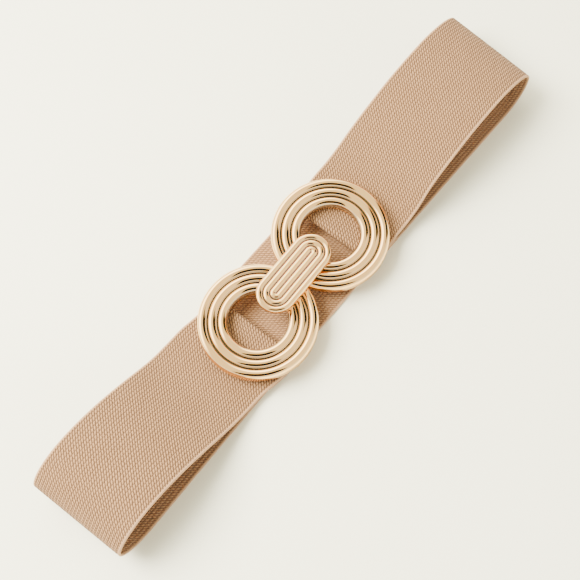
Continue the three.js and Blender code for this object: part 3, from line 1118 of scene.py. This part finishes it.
@dataclass
class HookRing(BuckleHalf):
    """Half of the buckle with the ribbed plate and the hidden hook."""

    search_steps: int = 64
    plate_steps: int = 28
    foot_steps: int = 16
    foot_inset: float = 0.2

    def eye_points(self, radii: list[float], height: float, half_wide: float) -> list[Vector]:
        """Points of the other ring in this half's frame, on the joint's side.

        Args:
            radii: Distances from that ring's middle.
            height: Height over its underside.
            half_wide: Greatest distance from this half's middle.

        Returns:
            The points.
        """
        sizes = self.sizes
        to_hook = sizes.half_frame(NEAR).inverted() @ sizes.half_frame(FAR)
        found = []
        for radius in radii:
            for angle in arc(-math.pi / 2, math.pi, self.search_steps):
                spot = around(radius, angle, sizes.bar_offset)
                point = to_hook @ Vector((*spot, sizes.ring_rise + height))
                if abs(point.y) <= half_wide:
                    found.append(point)
        return found

    def plate_level(self) -> float:
        """Height of the plate's underside over the bar.

        Returns:
            The height in this half's frame.
        """
        sizes = self.sizes
        width = sizes.ring_rib_width
        crests = [sizes.ring_hole_radius + width * (rib + 0.5) for rib in range(sizes.ring_ribs)]
        under = self.eye_points(crests, sizes.ring_height, sizes.plate_width / 2)
        highest = max([sizes.ring_rise + sizes.ring_height, *[point.z for point in under]])
        return highest + sizes.clearance

    def add_plate(self, middle: float, level: float) -> None:
        """Add the oblong plate, whose ribs run round it one inside the other.

        Args:
            middle: Place of its middle along X.
            level: Height of its underside.
        """
        sizes = self.sizes
        half, soft = sizes.plate_width / 2, self.rounding
        straight = (sizes.plate_length - sizes.plate_width) / 2
        profile = self.rib_profile(0.0, sizes.plate_ribs, half / sizes.plate_ribs / 2, sizes.plate_base)
        profile += [(half, soft, 0.0), (half - soft, 0.0, 0.0), (0.0, 0.0, 0.0)]
        turns = arc(-math.pi / 2, math.pi, self.plate_steps)
        spots = [(middle + straight, turn) for turn in turns]
        spots += [(middle - straight, turn + math.pi) for turn in turns]
        self.add_turned(profile, spots, level)

    def add_foot(self, level: float) -> None:
        """Add the part under the plate that joins it to the ring.

        Args:
            level: Height of the plate's underside.
        """
        sizes = self.sizes
        wide = sizes.plate_width / 2 - sizes.clearance
        arcs = (
            (sizes.ring_outer_radius - sizes.ring_flat, wide, 1),
            (sizes.ring_hole_radius + sizes.clearance, wide - self.foot_inset, -1),
        )
        outline = []
        for radius, reach, way in arcs:
            limit = way * math.asin(reach / radius)
            for angle in arc(-limit, 2 * limit, self.foot_steps):
                outline.append(around(radius, angle, sizes.bar_offset))
        low, high = sizes.ring_rise + sizes.ring_base / 2, level + sizes.plate_base / 2
        self.add_prism(outline, low, high, upright=False)

    def add_hook(self, level: float) -> None:
        """Add the leg through the other ring's hole and the tip under that ring.

        Args:
            level: Height of the plate's underside.
        """
        sizes = self.sizes
        hole, half = sizes.ring_hole_radius, sizes.hook_width / 2
        walls = self.eye_points([hole], 0.0, half + sizes.clearance)
        walls += self.eye_points([hole], sizes.ring_height, half + sizes.clearance)
        start = max(point.x for point in walls) + sizes.clearance
        under = self.eye_points([hole, sizes.ring_outer_radius], 0.0, half)
        tip_top = min(point.z for point in under) - sizes.clearance
        tip_bottom = tip_top - sizes.hook_thickness
        leg_top = level + sizes.plate_base / 2
        tip, back = start - sizes.hook_tip_length, start + sizes.hook_thickness
        outline = [(start, leg_top), (start, tip_top), (tip, tip_top)]
        outline += [(tip, tip_bottom), (back, tip_bottom), (back, leg_top)]
        self.add_prism(outline, -half, half)

    def add_parts(self) -> None:
        """Add every part of this half."""
        super().add_parts()
        level = self.plate_level()
        self.add_plate(self.sizes.bar_x(NEAR), level)
        self.add_foot(level)
        self.add_hook(level)


@dataclass(frozen=True)
class DarkPatch:
    """Dark part of the room, which shows as short dark streaks in the polished ribs.

    Reach and blur are in degrees to each side, and low and high are Z parts of a direction.
    """

    toward: Pair
    reach: float
    low: float
    high: float
    blur: float = 4.0
    low_blur: float = 0.04
    high_blur: float = 0.01

    def mask(self, nodes: Nodes, direction: Socket, rise: Socket) -> Socket:
        """Share of the patch in a direction.

        Args:
            nodes: Nodes of the world.
            direction: Unit direction.
            rise: Its Z part.

        Returns:
            1 inside the patch and 0 outside it.
        """
        across = nodes.dot(direction, Vector((*self.toward, 0.0)).normalized())
        # A little more than 1, so that the root stays above 0 straight up.
        level = nodes.math("SQRT", nodes.math("SUBTRACT", 1.0001, nodes.math("MULTIPLY", rise, rise)))
        facing = nodes.math("DIVIDE", across, level)
        edges = [math.cos(math.radians(self.reach + way * self.blur)) for way in (1, -1)]
        inside = nodes.spread(facing, *edges)
        above = nodes.spread(rise, self.low - self.low_blur, self.low + self.low_blur)
        below = nodes.spread(rise, self.high + self.high_blur, self.high - self.high_blur)
        return nodes.math("MULTIPLY", nodes.math("MULTIPLY", inside, above), below)


@dataclass(frozen=True)
class Softbox:
    """Rectangular area light that faces the belt and doesn't show in the metal.

    Place and size are in metres, and power is in watts.
    """

    name: str
    place: Triple
    size: Pair
    power: float
    tint: Triple

    def build(self) -> None:
        """Add the light."""
        data = bpy.data.lights.new(self.name, "AREA")
        data.shape = "RECTANGLE"
        data.size, data.size_y = self.size
        data.energy = self.power
        data.color = self.tint
        light = bpy.data.objects.new(self.name, data)
        light.location = self.place
        light.rotation_euler = (-Vector(self.place)).to_track_quat("-Z", "Y").to_euler()
        light.visible_glossy = False
        bpy.context.scene.collection.objects.link(light)


@dataclass
class Studio:
    """Pale tabletop, soft light from the upper left of the view, the room and the camera."""

    camera_place: Triple = (-140.46, -166.82, 496.50)
    azimuth: float = math.radians(-37.53)
    elevation: float = math.radians(66.9)
    roll: float = math.radians(-13.44)
    focal: float = 965.7
    image_size: float = 580.0
    sensor: float = 36.0
    clip_start: float = 0.01
    room_low: Color = (2.2, 2.32, 2.5, 1.0)
    room_high: Color = (1.95, 1.82, 1.4, 1.0)
    room_bright: Color = (9.0, 8.6, 7.6, 1.0)
    room_dark: Color = (0.03, 0.02, 0.016, 1.0)
    bright_toward: Triple = (0.086, 0.996, 0.0)
    bright_range: Pair = (0.36, 0.62)
    ceiling_range: Pair = (0.25, 0.6)
    dark_patches: tuple[DarkPatch, ...] = (
        DarkPatch((0.954, -0.295), reach=17, low=0.2, high=0.86),
        DarkPatch((-0.765, -0.644), reach=38, low=0.55, high=0.988),
    )
    lights: tuple[Softbox, ...] = (
        Softbox("window_light", (-0.37, 0.58, 0.83), (0.7, 0.7), 54.0, (1.0, 0.985, 0.96)),
        Softbox("room_bounce", (0.1, -0.95, 0.3), (1.1, 0.4), 8.0, (0.95, 0.98, 1.0)),
    )
    floor_half: float = 2.5
    floor_cells: int = 24
    floor_gap: float = 0.1
    floor_crease: float = 30.0
    finish: FloorFinish = FloorFinish()

    def add_camera(self) -> None:
        """Add the camera at the photo's view."""
        data = bpy.data.cameras.new("photo_view")
        data.sensor_width = self.sensor
        data.lens = self.focal * self.sensor / self.image_size
        data.clip_start = self.clip_start
        camera = bpy.data.objects.new("photo_view", data)
        camera.matrix_world = (
            Matrix.Translation(Vector(self.camera_place) * MM)
            @ Matrix.Rotation(self.azimuth, 4, "Z")
            @ Matrix.Rotation(math.pi / 2 - self.elevation, 4, "X")
            @ Matrix.Rotation(self.roll, 4, "Z")
        )
        bpy.context.scene.collection.objects.link(camera)
        bpy.context.scene.camera = camera

    def add_floor(self) -> None:
        """Add the tabletop."""
        work = bmesh.new()
        cells = self.floor_cells
        bmesh.ops.create_grid(work, x_segments=cells, y_segments=cells, size=self.floor_half)
        mesh = bpy.data.meshes.new("tabletop")
        work.to_mesh(mesh)
        work.free()
        floor = finished_object("tabletop", mesh, self.finish.material(), self.floor_crease)
        floor.location.z = -self.floor_gap * MM

    def add_world(self) -> None:
        """Add the room, which lights the belt softly and shows in the polished metal."""
        world = bpy.data.worlds.new("studio_room")
        world.use_nodes = True
        nodes = Nodes(world.node_tree)
        shader = world.node_tree.nodes["Background"]
        direction = nodes.add("ShaderNodeTexCoord").outputs["Generated"]
        rise = nodes.parts(direction)[2]
        bright = nodes.spread(nodes.dot(direction, Vector(self.bright_toward)), *self.bright_range)
        ceiling = nodes.mix(bright, self.room_high, self.room_bright)
        color = nodes.mix(nodes.spread(rise, *self.ceiling_range), self.room_low, ceiling)
        for patch in self.dark_patches:
            color = nodes.mix(patch.mask(nodes, direction, rise), color, self.room_dark)
        nodes.put(shader.inputs["Color"], color)
        shader.inputs["Strength"].default_value = 1.0
        bpy.context.scene.world = world

    def build(self) -> None:
        """Add the camera, tabletop, lights and room."""
        self.add_camera()
        self.add_floor()
        for light in self.lights:
            light.build()
        self.add_world()
        log.info("studio: camera at %.0f px focal length", self.focal)


def main() -> None:
    """Build the studio and every piece of the belt, in order."""
    sizes = BeltSizes()
    Studio().build()
    pieces = [
        ElasticBand(sizes).build(),
        HookRing(sizes, NEAR, "ribbed_hook_ring", "hook_ring").build(),
        BuckleHalf(sizes, FAR, "ribbed_eye_ring", "eye_ring").build(),
    ]


if __name__ == "__main__":
    main()
